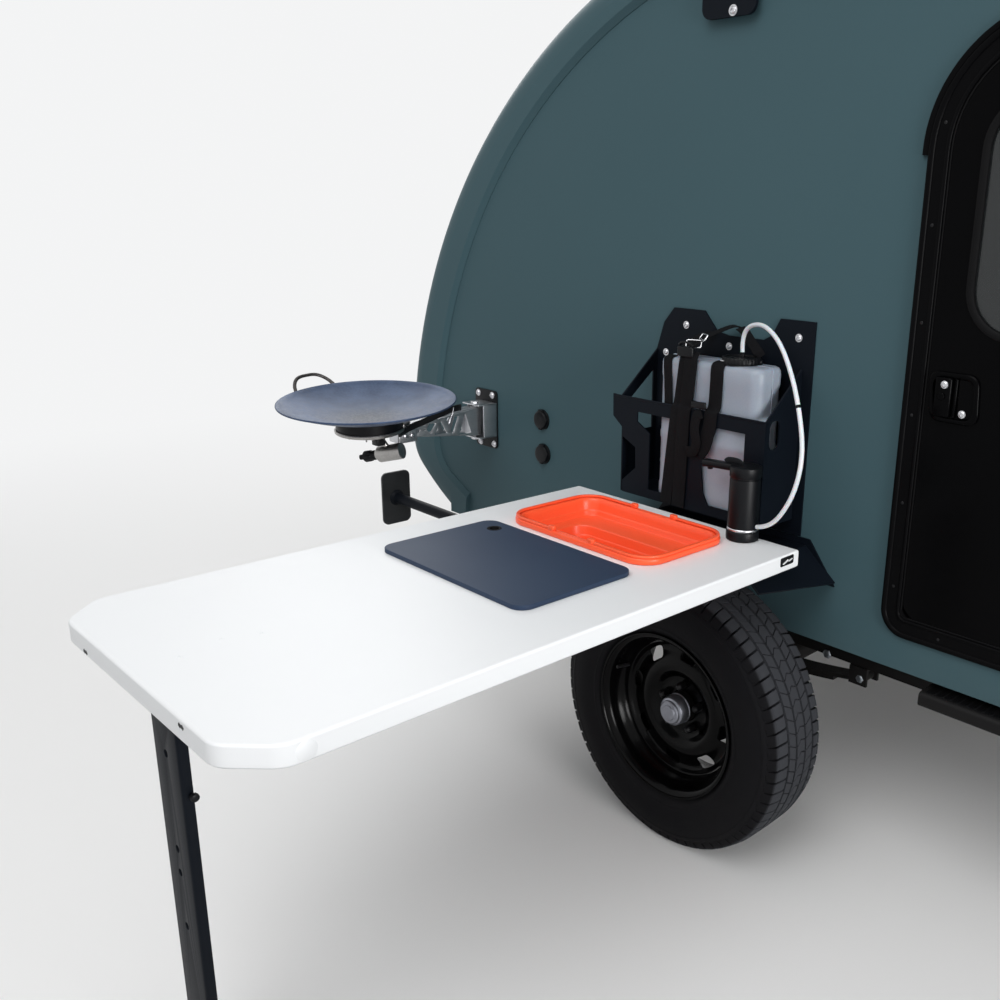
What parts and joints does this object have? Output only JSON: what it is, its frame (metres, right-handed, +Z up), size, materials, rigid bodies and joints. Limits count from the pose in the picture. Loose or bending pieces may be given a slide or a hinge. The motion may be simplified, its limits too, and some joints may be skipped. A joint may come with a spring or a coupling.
{
  "type": "teardrop camping trailer",
  "caption": "Rounded teardrop camping trailer with side doors, rear galley hatch, off-road wheels and a side kitchen table with sink, stove arm and water tank set out.",
  "frame": {"origin": "on the floor, under the middle of the whole object's box", "axes": "+X forward towards the coupler, +Y to the left, +Z up"},
  "size_m": [4.336, 3.1607, 2.266],
  "materials": {
    "body_paint": "matte slate green",
    "door_black": "gloss black",
    "frame_black": "satin black",
    "window_glass": "dark tint",
    "black_steel": "powder coated",
    "zinc_steel": "zinc plated",
    "wheel_black": "gloss black",
    "hub_metal": "machined",
    "tyre_rubber": "matte",
    "latch_black": "moulded",
    "table_white": "smooth",
    "tub_orange": "satin",
    "board_slate": "fine grained",
    "tank_plastic": "translucent white",
    "strap_webbing": "woven",
    "hose_white": "smooth",
    "arm_aluminium": "brushed",
    "burner_steel": "satin",
    "pan_steel": "seasoned",
    "birch_board": "oiled",
    "floor_board": "coated",
    "mattress_fabric": "woven",
    "lamp_red": "ribbed lens",
    "plate_blank": "blank",
    "vent_lid": "smoked white"
  },
  "bodies": {
    "trailer": {"body_shell": "body_paint", "side_wall_right": "body_paint", "side_wall_left": "body_paint", "door_frame_right": "frame_black", "door_frame_left": "frame_black", "hatch_hinges": "frame_black", "roof_vent_base": "frame_black", "chassis_rails": "black_steel", "cross_members": "black_steel", "tongue_tubes": "black_steel", "coupler": "black_steel", "jack_housing": "black_steel", "side_steps": "black_steel", "axle_beam": "black_steel", "leaf_springs": "black_steel", "spring_hangers": "black_steel", "fenders": "black_steel", "roof_rack_bars": "black_steel", "roof_rack_feet": "black_steel", "leg_hinge": "black_steel", "tank_holder": "black_steel", "stabiliser_mounts": "black_steel", "power_sockets": "latch_black", "tap_pump": "latch_black", "table_top": "table_white", "sink_tub": "tub_orange", "cutting_board": "board_slate", "water_tank": "tank_plastic", "tank_straps": "strap_webbing", "water_hose": "hose_white", "stove_bracket": "arm_aluminium", "bulkhead": "birch_board", "galley_counter": "birch_board", "floor_pan": "floor_board", "mattress": "mattress_fabric", "tail_lights": "lamp_red"},
    "wheel_right": {"wheel_right": "wheel_black", "tyre_right": "tyre_rubber", "wheel_hub_right": "hub_metal"},
    "wheel_left": {"wheel_left": "wheel_black", "tyre_left": "tyre_rubber", "wheel_hub_left": "hub_metal"},
    "door_right": {"door_right": "door_black", "door_window_right": "window_glass", "door_latch_right": "latch_black"},
    "door_left": {"door_left": "door_black", "door_window_left": "window_glass", "door_latch_left": "latch_black"},
    "hatch": {"rear_hatch": "body_paint", "hatch_handle": "frame_black", "number_plate": "plate_blank"},
    "stove": {"stove_arm": "arm_aluminium", "burner": "burner_steel", "griddle_pan": "pan_steel"},
    "table_leg": {"table_leg": "black_steel"},
    "jack_leg": {"jack_leg": "zinc_steel"},
    "stabiliser_right": {"stabiliser_leg_right": "zinc_steel"},
    "stabiliser_left": {"stabiliser_leg_left": "zinc_steel"},
    "vent_lid": {"roof_vent_lid": "vent_lid"}
  },
  "joints": [
    {"name": "wheel_right_spin", "type": "hinge", "parent": "trailer", "child": "wheel_right", "pos_m": [-0.552, -0.34637, 0.344], "axis": [0, 1, 0], "continuous": true},
    {"name": "wheel_left_spin", "type": "hinge", "parent": "trailer", "child": "wheel_left", "pos_m": [-0.552, 1.47963, 0.344], "axis": [0, 1, 0], "continuous": true},
    {"name": "door_right_swing", "type": "hinge", "parent": "trailer", "child": "door_right", "pos_m": [0.485, -0.20937, 1.24], "axis": [0, 0, 1], "range_deg": [0, 100]},
    {"name": "door_left_swing", "type": "hinge", "parent": "trailer", "child": "door_left", "pos_m": [0.485, 1.34263, 1.24], "axis": [0, 0, -1], "range_deg": [0, 100]},
    {"name": "hatch_lift", "type": "hinge", "parent": "trailer", "child": "hatch", "pos_m": [-1.01993, 0.56663, 2.09036], "axis": [0, 1, 0], "range_deg": [0, 75]},
    {"name": "stove_swing", "type": "hinge", "parent": "trailer", "child": "stove", "pos_m": [-1.517, -0.25137, 0.882], "axis": [0, 0, 1], "range_deg": [-50, 50]},
    {"name": "table_leg_fold", "type": "hinge", "parent": "trailer", "child": "table_leg", "pos_m": [-0.6145, -1.53237, 0.752], "axis": [1, 0, 0], "range_deg": [0, 90]},
    {"name": "jack_slide", "type": "slide", "parent": "trailer", "child": "jack_leg", "axis": [0, 0, 1], "range_m": [0, 0.3]},
    {"name": "stabiliser_right_swing", "type": "hinge", "parent": "trailer", "child": "stabiliser_right", "pos_m": [-1.717, -0.13237, 0.492], "axis": [0, -1, 0], "range_deg": [0, 90]},
    {"name": "stabiliser_left_swing", "type": "hinge", "parent": "trailer", "child": "stabiliser_left", "pos_m": [-1.717, 1.26563, 0.492], "axis": [0, -1, 0], "range_deg": [0, 90]},
    {"name": "vent_lid_lift", "type": "hinge", "parent": "trailer", "child": "vent_lid", "pos_m": [-0.032, 0.56663, 2.238], "axis": [0, 1, 0], "range_deg": [0, 60]}
  ]
}
